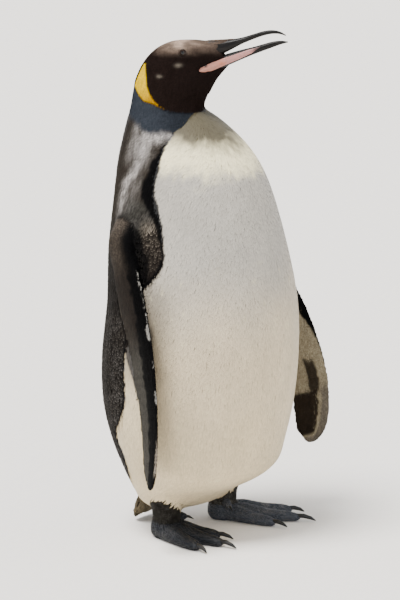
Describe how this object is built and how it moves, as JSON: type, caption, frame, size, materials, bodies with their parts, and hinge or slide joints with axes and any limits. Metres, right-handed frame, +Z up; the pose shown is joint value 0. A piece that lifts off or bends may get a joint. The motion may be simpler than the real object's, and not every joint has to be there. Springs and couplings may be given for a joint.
{
  "type": "king penguin",
  "caption": "Standing adult king penguin, life size and still, head turned to its left with the bill parted and the flippers held a little off the body.",
  "frame": {"origin": "on the floor, under the middle of the bird's outline", "axes": "+Z up; the body faces -Y, with the bird's left side towards +X"},
  "size_m": [0.4166, 0.3102, 0.7885],
  "materials": {
    "breast_feathers": "matte, fine short feathers",
    "back_feathers": "matte with a soft silver-grey sheen, short stiff feathers",
    "head_feathers": "satin, very fine short feathers",
    "foot_skin": "matte, finely wrinkled and scaled",
    "horn": "satin horn",
    "bill_plate": "smooth, waxy",
    "eye": "wet gloss"
  },
  "bodies": {
    "root": {"trunk": "breast_feathers", "neck": "head_feathers", "head": "head_feathers", "tail": "back_feathers", "flipper_right": "back_feathers", "flipper_left": "back_feathers", "leg_right": "foot_skin", "leg_left": "foot_skin", "foot_right": "foot_skin", "foot_left": "foot_skin", "bill_upper": "horn", "bill_lower": "horn", "bill_plate_right": "bill_plate", "bill_plate_left": "bill_plate", "eye_right": "eye", "eye_left": "eye", "claw_right_inner": "horn", "claw_right_middle": "horn", "claw_right_outer": "horn", "claw_right_hind": "horn", "claw_left_inner": "horn", "claw_left_middle": "horn", "claw_left_outer": "horn", "claw_left_hind": "horn"}
  },
  "joints": []
}
